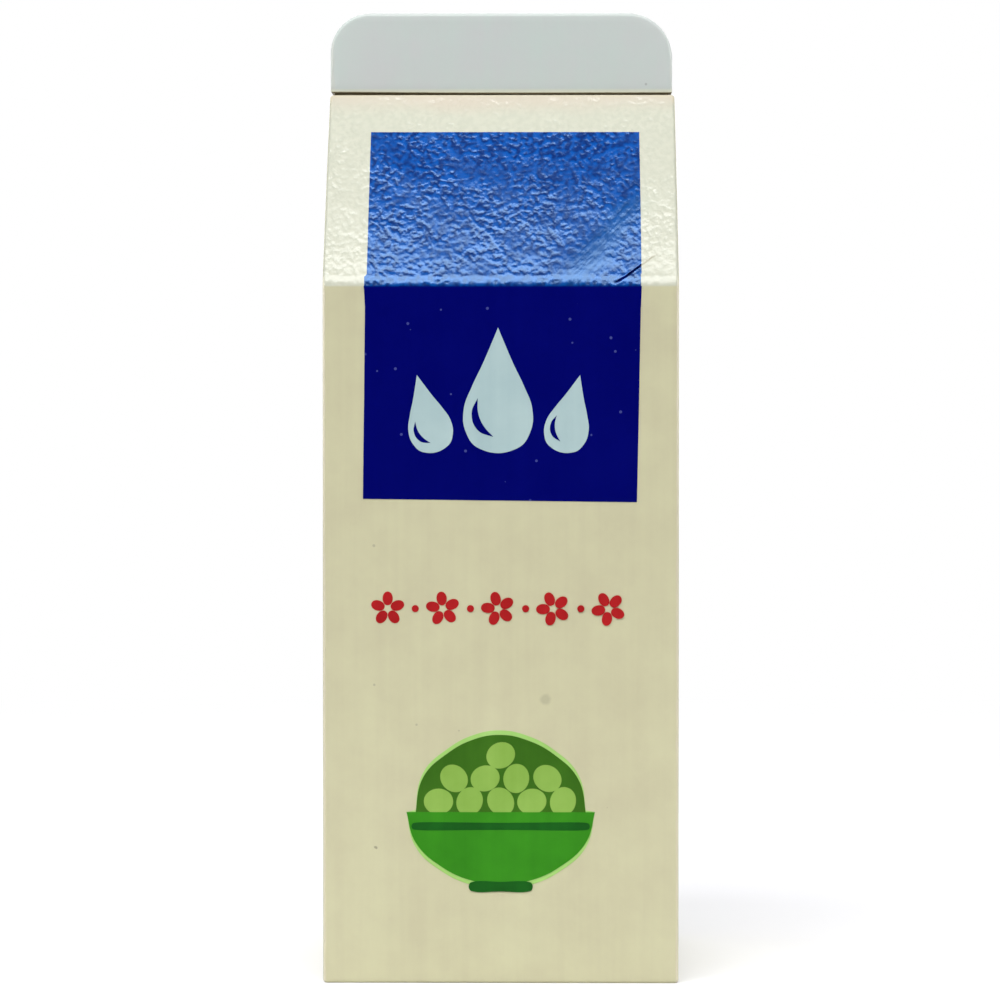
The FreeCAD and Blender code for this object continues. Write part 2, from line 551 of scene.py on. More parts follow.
def makeDrops():
    drop = ribbon(inMillimetres(drops["spine"]), widthsOf(drops["widths"]))
    sheen = ribbon(inMillimetres(drops["sheen"]), widthsOf(drops["sheenWidths"]))
    bodies, sheens = [], []
    for middle, turn, size in drops["places"]:
        place = Vector(middle) * mm
        bodies.append(placed(drop, math.radians(turn), size, place))
        sheens.append(placed(sheen, math.radians(turn), size, place))
    dropPrint = drawShapes("dropPrint", bodies, drops["bottom"], drops["top"])
    sheenPrint = drawShapes("sheenPrint", sheens, drops["bottom"], drops["sheenTop"])
    return dropPrint, sheenPrint


blossoms = {
    "height": 42.2 * mm,
    "middle": -0.3 * mm,
    "step": 6.2 * mm,
    "count": 5,
    "petals": 5,
    "petalLength": 1.55 * mm,
    "petalWidth": 1.15 * mm,
    "petalOut": 1.15 * mm,
    "turn": 0.12,  # each blossom is turned this much more than the one before
    "dot": 0.8 * mm,
    "bottom": -0.02 * mm,
    "top": 0.03 * mm,
}


def makeBlossoms():
    shapes = []
    first = blossoms["middle"] - blossoms["step"] * (blossoms["count"] - 1) / 2
    for number in range(blossoms["count"]):
        middle = Vector((first + number * blossoms["step"], blossoms["height"]))
        upright = math.pi / 2
        for petal in range(blossoms["petals"]):
            turn = upright + 2 * math.pi * petal / blossoms["petals"] + blossoms["turn"] * number
            out = Vector((math.cos(turn), math.sin(turn))) * blossoms["petalOut"]
            shapes.append(oval(middle + out, blossoms["petalLength"], blossoms["petalWidth"], turn))
        if number:
            between = middle - Vector((blossoms["step"] / 2, 0))
            shapes.append(oval(between, blossoms["dot"], blossoms["dot"], 0))
    return drawShapes("blossomPrint", shapes, blossoms["bottom"], blossoms["top"])


bowl = {  # a bowl with a heap of round beans
    "across": [-10.6, -9.6, -6.6, -3.3, 0, 3.3, 6.6, 9.6, 10.6],
    "height": 19.3,
    "depths": [0, 3.4, 6.2, 7.7, 8.1, 7.7, 6.2, 3.4, 0],
    "heapHeight": 18.8,
    "heapWidth": 0.91,  # share of the bowl's
    "heapTops": [0, 4.4, 7.1, 8.7, 9.2, 8.6, 7.0, 4.2, 0],
    "edge": 0.5,  # pale ink that shows round the bowl and the heap
    "beanRows": [(20.5, 5), (23.1, 4), (25.7, 1)],  # height and count
    "beanStep": 3.5,
    "beanSize": (3.3, 2.9),
    "beanTurn": 1.1,  # each bean is turned this much more than the one before
    "band": [(-9.95, 17.7), (-9.6, 17.7), (0, 17.7), (9.6, 17.7), (9.95, 17.7)],
    "bandWidths": [0.5, 0.8, 0.8, 0.8, 0.5],
    "foot": [(-3.5, 10.9), (-3.1, 10.9), (0, 10.9), (3.1, 10.9), (3.5, 10.9)],
    "footWidths": [0.7, 1.1, 1.1, 1.1, 0.7],
    "bottom": -0.02 * mm,
    "top": 0.03 * mm,
    "layer": 0.012 * mm,  # each ink lies this much over the one before
}


def makeBowl():
    columns, share = bowl["across"], bowl["heapWidth"]
    line = inMillimetres([(x, bowl["height"]) for x in columns])
    heapLine = inMillimetres([(x * share, bowl["heapHeight"]) for x in columns])

    def bowlShape(more):  # hangs down from its line
        return ribbon(line, widthsOf(bowl["depths"], more), -1, 0.1 * more)

    def heapShape(more):  # stands up from its line
        return ribbon(heapLine, widthsOf(bowl["heapTops"], more), 0, 1)

    beans = []
    for height, count in bowl["beanRows"]:
        for number in range(count):
            middle = Vector(((number - (count - 1) / 2) * bowl["beanStep"], height)) * mm
            length, width = bowl["beanSize"]
            beans.append(oval(middle, length * mm, width * mm, bowl["beanTurn"] * len(beans)))
    trim = [
        ribbon(inMillimetres(bowl["band"]), widthsOf(bowl["bandWidths"])),
        ribbon(inMillimetres(bowl["foot"]), widthsOf(bowl["footWidths"])),
    ]
    layers = [
        ("edgePrint", [heapShape(bowl["edge"]), bowlShape(bowl["edge"])]),
        ("heapPrint", [heapShape(0)]),
        ("beanPrint", beans),
        ("bowlPrint", [bowlShape(0)]),
        ("trimPrint", trim),
    ]
    printed = []
    for number, (name, shapes) in enumerate(layers):
        top = bowl["top"] + number * bowl["layer"]
        printed.append(drawShapes(name, shapes, bowl["bottom"], top))
    return printed


dropPrint, sheenPrint = makeDrops()
blossomPrint = makeBlossoms()
edgePrint, heapPrint, beanPrint, bowlPrint, trimPrint = makeBowl()
print("prints drawn")


def linearShade(value):  # 0 to 255 as a paint chart gives it
    return ((value / 255 + 0.055) / 1.055) ** 2.4 if value > 10 else value / 255 / 12.92


def ink(red, green, blue):
    return [linearShade(red), linearShade(green), linearShade(blue), 1]


def addNode(tree, kind, **settings):
    node = tree.nodes.new(kind)
    for name, value in settings.items():
        setattr(node, name, value)
    return node


def addMath(tree, operation, first, second=None, third=None):
    node = addNode(tree, "ShaderNodeMath", operation=operation)
    for socket, value in zip(node.inputs, (first, second, third)):
        if hasattr(value, "is_linked"):
            tree.links.new(value, socket)
        elif value is not None:
            socket.default_value = value
    return node.outputs[0]


def addMix(tree, factor, first, second):
    node = addNode(tree, "ShaderNodeMix", data_type="RGBA")
    sockets = [node.inputs[0], node.inputs[6], node.inputs[7]]
    for socket, value in zip(sockets, (factor, first, second)):
        if hasattr(value, "is_linked"):
            tree.links.new(value, socket)
        else:
            socket.default_value = value
    return node.outputs[2]


def newGroup(name, inputs, outputs):
    tree = bpy.data.node_groups.new(name, "ShaderNodeTree")
    for label, kind, value in inputs:
        socket = tree.interface.new_socket(label, in_out="INPUT", socket_type=kind)
        socket.default_value = value
    for label, kind in outputs:
        tree.interface.new_socket(label, in_out="OUTPUT", socket_type=kind)
    return tree, addNode(tree, "NodeGroupInput"), addNode(tree, "NodeGroupOutput")


def objectPlace(tree, stretch=(1, 1, 1), turn=(0, 0, 0)):  # a stretch under 1 draws a pattern out
    place = addNode(tree, "ShaderNodeTexCoord").outputs["Object"]
    mapping = addNode(tree, "ShaderNodeMapping")
    mapping.inputs["Scale"].default_value = stretch
    mapping.inputs["Rotation"].default_value = turn
    tree.links.new(place, mapping.inputs["Vector"])
    return mapping.outputs[0]


def addNoise(tree, place, scale, detail=2, roughness=0.5):
    noise = addNode(tree, "ShaderNodeTexNoise")
    noise.inputs["Detail"].default_value = detail
    noise.inputs["Roughness"].default_value = roughness
    tree.links.new(place, noise.inputs["Vector"])
    if hasattr(scale, "is_linked"):
        tree.links.new(scale, noise.inputs["Scale"])
    else:
        noise.inputs["Scale"].default_value = scale
    return noise.outputs["Fac"]


def addRamp(tree, value, start, end, low=0, high=1, kind="SMOOTHSTEP"):
    node = addNode(tree, "ShaderNodeMapRange", interpolation_type=kind)
    tree.links.new(value, node.inputs["Value"])
    for label, setting in (("From Min", start), ("From Max", end), ("To Min", low), ("To Max", high)):
        node.inputs[label].default_value = setting
    return node.outputs[0]


def splitPlace(tree, place):
    split = addNode(tree, "ShaderNodeSeparateXYZ")
    tree.links.new(place, split.inputs[0])
    return split.outputs


def addWarp(tree, place, scale, reach):  # shifts the place a little, this way and that
    cloud = addNode(tree, "ShaderNodeTexNoise")
    tree.links.new(place, cloud.inputs["Vector"])
    cloud.inputs["Scale"].default_value = scale
    middle = addNode(tree, "ShaderNodeVectorMath", operation="SUBTRACT")
    tree.links.new(cloud.outputs["Color"], middle.inputs[0])
    middle.inputs[1].default_value = (0.5, 0.5, 0.5)
    warp = addNode(tree, "ShaderNodeVectorMath", operation="MULTIPLY_ADD")
    tree.links.new(middle.outputs[0], warp.inputs[0])
    warp.inputs[1].default_value = (reach, reach, reach)
    tree.links.new(place, warp.inputs[2])
    return warp.outputs[0]


def lineFrame(tree, place, start, end):  # distances across and along a line drawn over the front
    along = (end - start).normalized()
    x, y, z = splitPlace(tree, place)
    across = addMath(tree, "MULTIPLY_ADD", z, along.x, start.x * along.y - start.y * along.x)
    across = addMath(tree, "MULTIPLY_ADD", x, -along.y, across)
    out = addMath(tree, "MULTIPLY_ADD", z, along.y, -start.dot(along))
    out = addMath(tree, "MULTIPLY_ADD", x, along.x, out)
    return across, out, addMath(tree, "LESS_THAN", y, 0)


def addStreak(tree, place, start, end, width, fade):  # 1 on a line over the front, 0 beyond its width
    across, out, front = lineFrame(tree, place, start, end)
    length = (end - start).length
    side = addRamp(tree, addMath(tree, "ABSOLUTE", across), width, 0)
    mask = addMath(tree, "MULTIPLY", side, addRamp(tree, out, -fade, fade))
    mask = addMath(tree, "MULTIPLY", mask, addRamp(tree, out, length + fade, length - fade))
    return addMath(tree, "MULTIPLY", mask, front)


relief = {  # scales are noise cells to the metre
    "roofStart": (-0.75 * mm, -0.45 * mm),  # from the shoulder
    "ripples": 1350,
    "squeeze": (1.27, 1.15, 1.15),  # the ripples lie closest from left to right
    "turn": (0.6, 0.5, 0.4),  # keeps the noise's own lattice off the slopes
    "calmPatches": 300,
    "calm": (0.55, 1.1),  # share of the ripple in the calm patches and in the rough ones
    "tornCalm": 0.6,  # share of the ripple that the torn grain takes away
    "tornSpread": 1.4,  # the band of torn grain against its swelling's width
    "wander": (300, 3 * mm),  # its edge wanders: scale, reach
    "shreds": 2400,  # fine lines along the torn grain
    "shredStretch": 0.15,
    "shredShare": 0.45,
    "peel": 900,
    "grain": 1400,
    "grainShare": 0.6,
    "grainStretch": (1, 1, 0.03),  # the grain runs up the walls
}


def buildPaintSkin():  # end grain ripples on the slopes, faint grain and orange peel elsewhere
    tree, given, made = newGroup(
        "paintSkin",
        [("Ripple", "NodeSocketFloat", 1.0), ("Peel", "NodeSocketFloat", 0.2)],
        [(name, "NodeSocketFloat") for name in ("Height", "Slope", "Crest", "Torn")],
    )
    place = objectPlace(tree)
    height = splitPlace(tree, place)[2]
    start, full = [block["shoulderHeight"] + step for step in relief["roofStart"]]
    upRoof = addRamp(tree, height, start, full)
    normal = addNode(tree, "ShaderNodeNewGeometry").outputs["True Normal"]
    sideways = addMath(tree, "ABSOLUTE", splitPlace(tree, normal)[0])
    slope = addMath(tree, "MULTIPLY", upRoof, addRamp(tree, sideways, 0.75, 0.35))

    spread = relief["tornSpread"] * torn["width"]
    wandering = addWarp(tree, place, *relief["wander"])
    streak = addStreak(tree, wandering, torn["start"], torn["end"], spread, torn["fade"])
    patches = addNoise(tree, place, relief["calmPatches"], detail=1)
    calm = addRamp(tree, patches, 0.38, 0.6, *relief["calm"])
    kept = addMath(tree, "MULTIPLY_ADD", streak, -relief["tornCalm"], 1)
    calm = addMath(tree, "MULTIPLY", calm, kept)
    squeezed = objectPlace(tree, relief["squeeze"], relief["turn"])
    ripple = addNoise(tree, squeezed, relief["ripples"], detail=1, roughness=0.3)
    rippled = addMath(tree, "MULTIPLY", addMath(tree, "SUBTRACT", ripple, 0.5), calm)

    across, out, _ = lineFrame(tree, place, torn["start"], torn["end"])
    lines = addNode(tree, "ShaderNodeCombineXYZ")
    tree.links.new(across, lines.inputs[0])
    tree.links.new(addMath(tree, "MULTIPLY", out, relief["shredStretch"]), lines.inputs[1])
    shreds = addNoise(tree, lines.outputs[0], relief["shreds"], detail=1)
    shreds = addMath(tree, "MULTIPLY", addMath(tree, "SUBTRACT", shreds, 0.5), streak)
    rippled = addMath(tree, "MULTIPLY_ADD", shreds, relief["shredShare"], rippled)
    # crest is 1 on the ripples' tops; the slopes' tone uses it for painted highlight on the crests and
    # painted shade in the hollows
    crest = addRamp(tree, rippled, -0.16, 0.16)
    rippled = addMath(tree, "MULTIPLY", rippled, slope)
    rippled = addMath(tree, "MULTIPLY", rippled, given.outputs["Ripple"])

    peel = addNoise(tree, place, relief["peel"], detail=2)
    along = objectPlace(tree, relief["grainStretch"])
    grain = addNoise(tree, along, relief["grain"], detail=3, roughness=0.6)
    grained = addMath(tree, "MULTIPLY_ADD", grain, relief["grainShare"], peel)
    result = addMath(tree, "MULTIPLY_ADD", grained, given.outputs["Peel"], rippled)
    for name, value in (("Height", result), ("Slope", slope), ("Crest", crest), ("Torn", streak)):
        tree.links.new(value, made.inputs[name])
    return tree


def buildMottle():  # slow clouds of tone and faint streaks of the wood's grain, about 0 to 1
    tree, given, made = newGroup(
        "mottle", [("Scale", "NodeSocketFloat", 150.0)], [("Tone", "NodeSocketFloat")]
    )
    cloud = addNoise(tree, objectPlace(tree), given.outputs["Scale"], detail=4, roughness=0.6)
    along = objectPlace(tree, relief["grainStretch"])
    streak = addNoise(tree, along, 700, detail=3, roughness=0.6)
    both = addMath(tree, "MULTIPLY_ADD", streak, 0.35, addMath(tree, "MULTIPLY", cloud, 0.8))
    tree.links.new(addRamp(tree, both, 0.4, 0.75, kind="LINEAR"), made.inputs["Tone"])
    return tree


def buildNibs():  # scattered dust specks caught in the paint
    tree, given, made = newGroup(
        "dustNibs",
        [(name, "NodeSocketFloat", 0.1) for name in ("Scale", "Size", "Share")],
        [("Mask", "NodeSocketFloat")],
    )
    cells = addNode(tree, "ShaderNodeTexVoronoi")
    tree.links.new(objectPlace(tree), cells.inputs["Vector"])
    tree.links.new(given.outputs["Scale"], cells.inputs["Scale"])
    small = addMath(tree, "LESS_THAN", cells.outputs["Distance"], given.outputs["Size"])
    split = addNode(tree, "ShaderNodeSeparateColor")
    tree.links.new(cells.outputs["Color"], split.inputs[0])
    kept = addMath(tree, "LESS_THAN", split.outputs[0], given.outputs["Share"])
    tree.links.new(addMath(tree, "MULTIPLY", small, kept), made.inputs["Mask"])
    return tree


def buildEdgeWearAndLight():  # paint rubbed thin along the two side rims and the upper edge; on the block the same mask also lays a painted shade on the rims beside the roof slopes and a painted highlight along the ridge
    tree, given, made = newGroup(
        "edgeWearAndLight",
        [(name, "NodeSocketFloat", mm) for name in ("Side", "High", "Reach")],
        [("Mask", "NodeSocketFloat")],
    )
    x, _, z = splitPlace(tree, objectPlace(tree))
    reach = given.outputs["Reach"]
    rim = addMath(tree, "SUBTRACT", addMath(tree, "ABSOLUTE", x), given.outputs["Side"])
    rim = addMath(tree, "DIVIDE", rim, reach)
    normal = addNode(tree, "ShaderNodeNewGeometry").outputs["True Normal"]
    offWall = addRamp(tree, addMath(tree, "ABSOLUTE", splitPlace(tree, normal)[0]), 0.95, 0.7)
    rim = addMath(tree, "MAXIMUM", addMath(tree, "ADD", rim, 1), 0)
    rim = addMath(tree, "MULTIPLY", rim, offWall)
    upper = addMath(tree, "DIVIDE", addMath(tree, "SUBTRACT", z, given.outputs["High"]), reach)
    both = addMath(tree, "MAXIMUM", rim, addMath(tree, "ADD", upper, 1))
    patches = addNoise(tree, objectPlace(tree), 500, detail=3)
    broken = addMath(tree, "MULTIPLY_ADD", patches, 0.9, both)
    tree.links.new(addRamp(tree, broken, 0.75, 1.25), made.inputs["Mask"])
    return tree


crack = {  # a hair crack from the shoulder across the print and on to the bare paint
    "start": Vector((13.0, 78.8)) * mm,
    "end": Vector((17.4, 82.0)) * mm,
    "width": 0.2 * mm,
    "fade": 0.5 * mm,  # at both ends
    "wander": (700, 0.3 * mm),  # scale, reach
}


def buildCrack():
    tree, given, made = newGroup(
        "hairCrack", [("Depth", "NodeSocketFloat", 1.0)], [("Mask", "NodeSocketFloat")]
    )
    place = addWarp(tree, objectPlace(tree), *crack["wander"])
    line = addStreak(tree, place, crack["start"], crack["end"], crack["width"], crack["fade"])
    deep = addMath(tree, "MINIMUM", addMath(tree, "MULTIPLY", line, given.outputs["Depth"]), 1)
    tree.links.new(deep, made.inputs["Mask"])
    return tree


marks = [  # small dirty marks on the front: x, z, radius, how dark
    (5.0 * mm, 32.0 * mm, 0.8 * mm, 0.25),
    (-14.1 * mm, 15.3 * mm, 0.22 * mm, 0.6),
    (12.0 * mm, 19.8 * mm, 0.12 * mm, 0.8),
]


def addMarks(tree):
    place = addWarp(tree, objectPlace(tree), 900, 0.5 * mm)
    total = None
    for x, z, radius, strength in marks:
        away = addNode(tree, "ShaderNodeVectorMath", operation="DISTANCE")
        tree.links.new(place, away.inputs[0])
        away.inputs[1].default_value = (x, frontY, z)
        spot = addRamp(tree, away.outputs["Value"], radius, 0.4 * radius, 0, strength)
        total = spot if total is None else addMath(tree, "MAXIMUM", total, spot)
    return total


paintSkin = buildPaintSkin()
mottle = buildMottle()
dustNibs = buildNibs()
edgeWearAndLight = buildEdgeWearAndLight()
hairCrack = buildCrack()


def placeGroup(tree, group, **values):
    node = addNode(tree, "ShaderNodeGroup", node_tree=group)
    for name, value in values.items():
        node.inputs[name].default_value = value
    return node


paints = {  # tones are given as (light, dark); ripple and peel are shares of the bump height
    "creamPaint": {
        "tones": ((214, 211, 176), (206, 201, 169)),
        # painted light: the slopes' lighter, whiter cream stands in for the sheen and stronger light
        # they catch
        "litSlopeTones": ((213, 214, 197), (206, 208, 191)),
        # painted light: the torn band's tone stands in for its duller sheen
        "tornSheenTone": (207, 214, 197),
        # painted highlight along the ridge's rounded edge
        "ridgeHighlightTone": (213, 204, 187),
        # edge tone: worn rims on the walls and a painted highlight along the ridge; roof tone: painted
        # shade on the rims beside the slopes
        "edge": {"tone": (214, 206, 184), "roofShadeTone": (192, 195, 180)},
        "wear": {"Side": 20 * mm, "High": blockHigh.z, "Reach": 0.55 * mm},
        # painted shade in the hair crack
        "crackShadeTone": (168, 162, 138),
        "crackDepth": 0.7,
        "crackDrop": 0.7,
        "markTone": (120, 116, 100),
        "gloss": 0.15,
        "slopeGloss": 0.17,
        "ripple": 3,
        "peel": 0.5,
        "bump": 0.03 * mm,
        "nibs": ((188, 184, 156), 0.03),
    },
    "greyPaint": {
        "tones": ((203, 214, 209), (206, 210, 209)),
        "edge": {"tone": (206, 210, 204)},
        "wear": {"Side": 19.9 * mm, "High": boardHigh.z + mm, "Reach": 0.8 * mm},
        "seamTone": (124, 112, 86),
        # painted light: the board's lower edge is paler and warmer where the cream slopes throw light
        # up on it
        "lipBounceTone": (226, 228, 206),
        "gloss": 0.4,
        "ripple": 0,
        "peel": 0.1,
        "bump": 0.1 * mm,
        "nibs": ((180, 186, 184), 0.03),
    },
    "navyInk": {
        "tones": ((2, 4, 112), (1, 3, 106)),
        # painted light: the slopes' lighter blue stands in for the sheen they catch
        "litSlopeTones": ((0, 84, 178), (0, 44, 118)),
        # painted light: the lower slope, where its sheen is strongest, gets a slightly darker tone of
        # its own
        "litLowSlopeTones": ((0, 78, 166), (0, 42, 112)),
        # painted light: the torn band's tealer tone stands in for its duller sheen
        "tornSheenTone": (14, 84, 150),
        # painted shade in the hair crack, which also loses its gloss
        "crackShadeTone": (1, 3, 40),
        "crackDepth": 1.6,
        "crackDrop": 1,
        "dullCrack": True,
        "gloss": 0.12,
        "slopeGloss": 0.19,
        "ripple": 2.9,
        "peel": 0.05,
        "bump": 0.03 * mm,
        "nibs": ((70, 76, 150), 0.9),
        "coat": {"Specular Tint": (0.34, 0.56, 0.86, 1), "Specular IOR Level": 1, "IOR": 1.6},
    },
    "paleInk": {"tones": ((186, 210, 212), (174, 200, 204)), "nibs": ((150, 170, 180), 0.05)},
    "redInk": {"tones": ((190, 14, 22), (168, 6, 14)), "nibs": ((214, 90, 80), 0.05)},
    "edgeInk": {"tones": ((176, 222, 128), (160, 210, 108)), "nibs": ((190, 220, 150), 0.05)},
    "heapInk": {"tones": ((62, 120, 10), (50, 104, 4)), "nibs": ((90, 150, 60), 0.05)},
    "beanInk": {"tones": ((150, 192, 86), (134, 178, 70)), "nibs": ((170, 205, 120), 0.05)},
    "bowlInk": {"tones": ((54, 152, 8), (44, 136, 2)), "nibs": ((90, 170, 60), 0.05)},
    "trimInk": {"tones": ((8, 106, 12), (2, 84, 8)), "nibs": ((60, 130, 60), 0.05)},
}
flatInk = {"gloss": 0.4, "ripple": 0, "peel": 0.3, "bump": 0.03 * mm, "coat": {}}


def addTone(tree, mask, under, over):
    return addMix(tree, mask, under, ink(*over) if isinstance(over, tuple) else over)


def mixTones(tree, mask, tones):  # light where the mask is 1, dark where it is 0
    light, dark = tones
    return addMix(tree, mask, ink(*dark), ink(*light))


def addLitSlopeTone(tree, look, tone, skin):  # painted light: the slopes get a lighter tone than the walls, for the sheen and stronger light they catch; lighter on the ripples' crests and darker in their hollows, as painted highlight and shade
    crest = skin.outputs["Crest"]
    roof = mixTones(tree, crest, look["litSlopeTones"])
    # painted light: the lower part of the slope, near the shoulder, gets a tone of its own
    if "litLowSlopeTones" in look:
        height = splitPlace(tree, objectPlace(tree))[2]
        seam = block["shoulderHeight"]
        low = addRamp(tree, height, seam + 15 * mm, seam + 2 * mm, kind="LINEAR")
        roof = addMix(tree, low, roof, mixTones(tree, crest, look["litLowSlopeTones"]))
    # painted light: over the torn band the tone shifts to stand in for its duller sheen
    halfTorn = addMath(tree, "MULTIPLY", skin.outputs["Torn"], 0.5)
    roof = addTone(tree, halfTorn, roof, look["tornSheenTone"])
    # painted highlight: a paler, pinker band along the ridge's rounded edge
    if "ridgeHighlightTone" in look:
        height = splitPlace(tree, objectPlace(tree))[2]
        cloud = addNoise(tree, objectPlace(tree, (0.6, 1, 1)), 160, detail=3)
        height = addMath(tree, "MULTIPLY_ADD", cloud, 3 * mm, height)
        band = addRamp(tree, height, blockHigh.z - 1.5 * mm, blockHigh.z + 1.8 * mm)
        roof = addTone(tree, band, roof, look["ridgeHighlightTone"])
    return addTone(tree, skin.outputs["Slope"], tone, roof)


def addSeamTone(tree, look, tone):  # dirty bare wood under the board, and above it a paler lip, painted light thrown up from the cream slopes
    height = splitPlace(tree, objectPlace(tree))[2]
    down = splitPlace(tree, addNode(tree, "ShaderNodeNewGeometry").outputs["True Normal"])[2]
    low = addMath(tree, "LESS_THAN", height, seat + mm)
    under = addMath(tree, "MULTIPLY", addRamp(tree, down, -0.4, -0.8), low)
    foot = addMath(tree, "LESS_THAN", height, seat - 0.02 * mm)
    # painted light on the lip above the seam
    tone = addTone(tree, addRamp(tree, height, seat + 0.55 * mm, seat), tone, look["lipBounceTone"])
    return addTone(tree, addMath(tree, "MAXIMUM", under, foot), tone, look["seamTone"])


def addEdgeTone(tree, edge):  # painted shade: greyer beside the roof slopes than on the walls and along the ridge
    if "roofShadeTone" not in edge:
        return edge["tone"]
    height = splitPlace(tree, objectPlace(tree))[2]
    seam = block["shoulderHeight"]
    roof = addRamp(tree, height, seam - mm, seam + mm)
    underRidge = addRamp(tree, height, blockHigh.z - 0.5 * mm, blockHigh.z - 1.5 * mm)
    roof = addMath(tree, "MULTIPLY", roof, underRidge)
    return addMix(tree, roof, ink(*edge["tone"]), ink(*edge["roofShadeTone"]))


def makePaint(name):
    look = {**flatInk, **paints[name]}
    material = bpy.data.materials.new(name)
    material.use_nodes = True
    tree = material.node_tree
    shader = tree.nodes["Principled BSDF"]
    for label, value in look["coat"].items():
        shader.inputs[label].default_value = value
    skin = placeGroup(tree, paintSkin, Ripple=look["ripple"], Peel=look["peel"])
    cloud = placeGroup(tree, mottle, Scale=160.0).outputs["Tone"]
    tone = mixTones(tree, cloud, look["tones"])
    nibTone, share = look["nibs"]
    nibs = placeGroup(tree, dustNibs, Scale=420.0, Size=0.07, Share=share).outputs["Mask"]
    tone = addTone(tree, nibs, tone, nibTone)
    if "litSlopeTones" in look:
        tone = addLitSlopeTone(tree, look, tone, skin)
    # worn rims, with painted shade beside the roof slopes and a painted highlight along the ridge
    if "edge" in look:
        edgeMarked = placeGroup(tree, edgeWearAndLight, **look["wear"]).outputs["Mask"]
        tone = addTone(tree, edgeMarked, tone, addEdgeTone(tree, look["edge"]))
    if "seamTone" in look:
        tone = addSeamTone(tree, look, tone)
    if "markTone" in look:
        tone = addTone(tree, addMarks(tree), tone, look["markTone"])
    height = skin.outputs["Height"]
    # painted shade: the hair crack is darkened as a shaded groove
    if "crackShadeTone" in look:
        line = placeGroup(tree, hairCrack, Depth=look["crackDepth"]).outputs["Mask"]
        tone = addTone(tree, line, tone, look["crackShadeTone"])
        height = addMath(tree, "MULTIPLY_ADD", line, -look["crackDrop"], height)
    tree.links.new(tone, shader.inputs["Base Color"])
    if "dullCrack" in look:
        tree.links.new(line, shader.inputs["Metallic"])  # painted shade: a dark metal has no white gloss, so the crack stays dark under the lamps
    rough = addMath(tree, "MULTIPLY_ADD", cloud, 0.04, look["gloss"])
    more = look.get("slopeGloss", look["gloss"]) - look["gloss"]
    rough = addMath(tree, "MULTIPLY_ADD", skin.outputs["Slope"], more, rough)
    tree.links.new(rough, shader.inputs["Roughness"])
    bump = addNode(tree, "ShaderNodeBump")
    bump.inputs["Strength"].default_value = 1
    bump.inputs["Distance"].default_value = look["bump"]
    tree.links.new(height, bump.inputs["Height"])
    tree.links.new(bump.outputs[0], shader.inputs["Normal"])
    return material


paint = {name: makePaint(name) for name in paints}
print("materials made")

finishPiece(cartonBlock, paint["creamPaint"], "cream_paint", "carton_block")
finishPiece(ridgeBoard, paint["greyPaint"], "grey_paint", "ridge_board")
finishPiece(navyFront, paint["navyInk"], "blue_print")
finishPiece(navyBack, paint["navyInk"], "blue_print")
finishPiece(dropPrint, paint["paleInk"], "leaf_print")
finishPiece(sheenPrint, paint["navyInk"], "blue_print")
finishPiece(blossomPrint, paint["redInk"], "red_print")
finishPiece(edgePrint, paint["edgeInk"], "green_print")
finishPiece(heapPrint, paint["heapInk"], "green_print")
finishPiece(beanPrint, paint["beanInk"], "green_print")
finishPiece(bowlPrint, paint["bowlInk"], "green_print")
finishPiece(trimPrint, paint["trimInk"], "green_print")


studio = {
    "floorRadius": 0.8,
    "floorSeen": (0.92, 0.92, 0.95, 1),
    "floorLift": 0.15,  # share of plain white in the floor, which keeps its shadow soft
    "floorBounce": (0.82, 0.82, 0.8, 1),  # what the piece sees of the floor near it
    "floorFar": (0.04, 0.04, 0.04, 1),
    "bounceReach": (0.06, 0.3),
    "whiteFrom": 0.12,  # the floor turns plain white between these distances
    "whiteTo": 0.4,
    "horizon": 0.012,
    "zenith": 0.06,
    "lamps": [  # name, azimuth, elevation, distance, width, height, brightness
        ("key", -10, 54, 0.7, 0.75, 0.38, 6.4),
        ("leftFill", -90, 14, 1.0, 0.8, 0.5, 4.1),
        ("rightFill", 90, 14, 1.0, 0.8, 0.5, 4.5),
        ("backFill", 180, 12, 1.0, 0.8, 0.5, 3.0),
        ("backKey", 180, 54, 0.75, 0.7, 0.42, 1.9),
    ],
    "cameraPlace": Vector((4.8, -450, 65)) * mm,
    "cameraPitch": 1.41,  # degrees below level
    "cameraYaw": 0.65,  # degrees towards the left
    "lens": 138.0,
}


def makeFloor():
    bpy.ops.object.select_all(action="DESELECT")
    bpy.ops.mesh.primitive_circle_add(vertices=96, radius=studio["floorRadius"], fill_type="NGON")
    floor = bpy.context.object
    floor.name = "floor"
    material = bpy.data.materials.new("paleFloor")
    material.use_nodes = True
    tree = material.node_tree
    shader = tree.nodes["Principled BSDF"]
    shader.inputs["Roughness"].default_value = 0.9
    shader.inputs["Specular IOR Level"].default_value = 0.0
    white = addNode(tree, "ShaderNodeEmission")
    away = addNode(tree, "ShaderNodeVectorMath", operation="LENGTH")
    tree.links.new(objectPlace(tree), away.inputs[0])
    distance = away.outputs["Value"]
    ray = addNode(tree, "ShaderNodeLightPath").outputs
    seen = ray["Is Camera Ray"]
    fade = addRamp(tree, distance, *studio["bounceReach"])
    bounce = addMix(tree, fade, studio["floorBounce"], studio["floorFar"])
    bounce = addMix(tree, ray["Is Glossy Ray"], bounce, studio["floorFar"])  # keeps the dark inks deep
    tree.links.new(addMix(tree, seen, bounce, studio["floorSeen"]), shader.inputs["Base Color"])
    far = addRamp(tree, distance, studio["whiteFrom"], studio["whiteTo"], studio["floorLift"])
    mix = addNode(tree, "ShaderNodeMixShader")
    tree.links.new(addMath(tree, "MULTIPLY", far, seen), mix.inputs[0])
    tree.links.new(shader.outputs[0], mix.inputs[1])
    tree.links.new(white.outputs[0], mix.inputs[2])
    tree.links.new(mix.outputs[0], tree.nodes["Material Output"].inputs["Surface"])
    floor.data.materials.append(material)


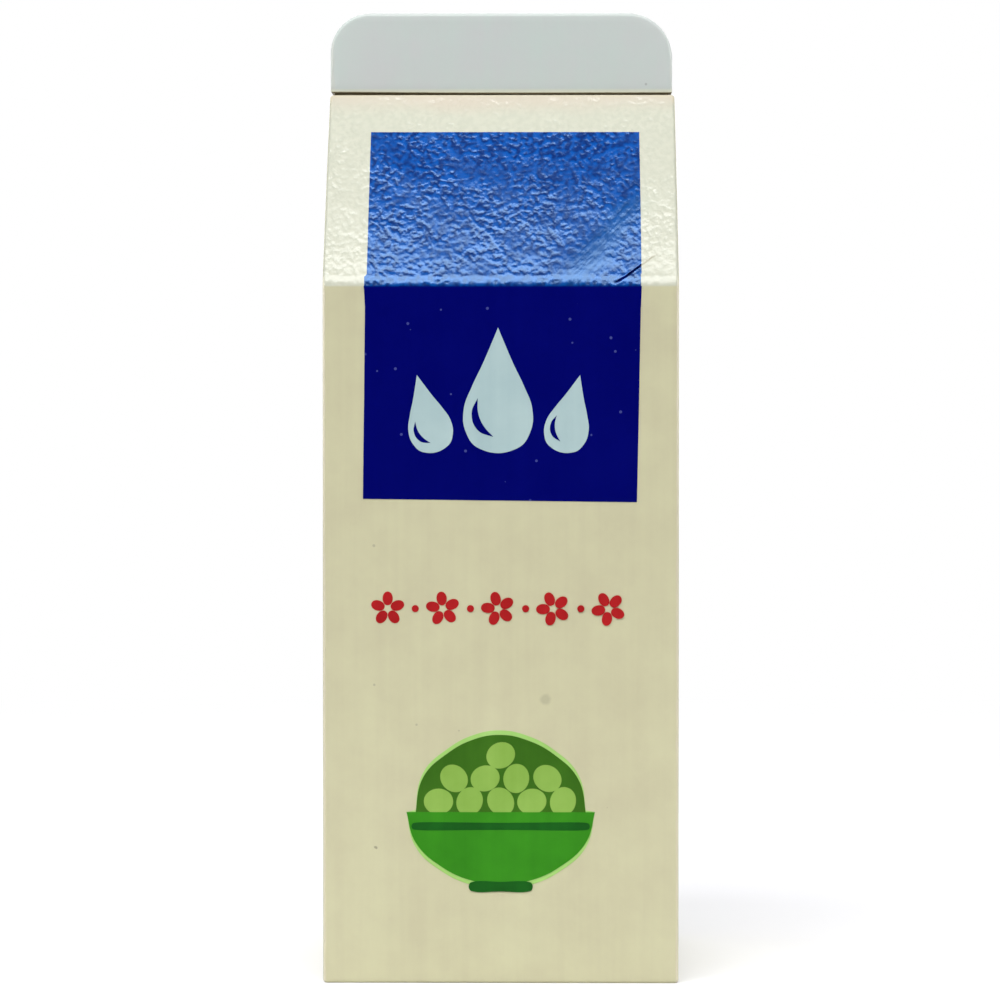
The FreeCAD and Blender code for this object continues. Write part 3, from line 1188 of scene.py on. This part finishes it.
def makeWorld():
    world = bpy.data.worlds.new("studio")
    bpy.context.scene.world = world
    world.use_nodes = True
    tree = world.node_tree
    plain = tree.nodes["Background"]
    plain.inputs["Color"].default_value = (1, 1, 1, 1)
    rise = splitPlace(tree, addNode(tree, "ShaderNodeTexCoord").outputs["Generated"])[2]
    strength = addRamp(tree, rise, 0.1, 0.9, studio["horizon"], studio["zenith"])
    tree.links.new(strength, plain.inputs["Strength"])
    white = addNode(tree, "ShaderNodeBackground")
    white.inputs["Color"].default_value = (1, 1, 1, 1)
    seen = addNode(tree, "ShaderNodeLightPath").outputs["Is Camera Ray"]
    mix = addNode(tree, "ShaderNodeMixShader")
    tree.links.new(seen, mix.inputs[0])
    tree.links.new(plain.outputs[0], mix.inputs[1])
    tree.links.new(white.outputs[0], mix.inputs[2])
    tree.links.new(mix.outputs[0], tree.nodes["World Output"].inputs["Surface"])


def makeLamps():
    aim = Vector((0, 0, 55 * mm))
    for name, azimuth, elevation, distance, width, height, brightness in studio["lamps"]:
        turn, rise = math.radians(azimuth), math.radians(elevation)
        level = Vector((math.sin(turn), -math.cos(turn), 0)) * math.cos(rise)
        out = level + Vector((0, 0, math.sin(rise)))
        data = bpy.data.lights.new(name, "AREA")
        data.shape = "RECTANGLE"
        data.size, data.size_y = width, height
        data.energy = brightness * math.pi * width * height
        lamp = bpy.data.objects.new(name, data)
        lamp.location = aim + out * distance
        lamp.rotation_mode = "QUATERNION"
        lamp.rotation_quaternion = out.to_track_quat("Z", "Y")
        bpy.context.scene.collection.objects.link(lamp)


def makeCamera():
    data = bpy.data.cameras.new("camera")
    data.lens = studio["lens"]
    data.clip_start, data.clip_end = 0.05, 10
    camera = bpy.data.objects.new("camera", data)
    camera.location = studio["cameraPlace"]
    pitch, yaw = math.radians(90 - studio["cameraPitch"]), math.radians(studio["cameraYaw"])
    camera.rotation_euler = (pitch, 0, yaw)
    bpy.context.scene.collection.objects.link(camera)
    bpy.context.scene.camera = camera


makeFloor()
makeWorld()
makeLamps()
makeCamera()
bpy.context.scene.view_settings.view_transform = "Standard"
print("floor, light and camera set")
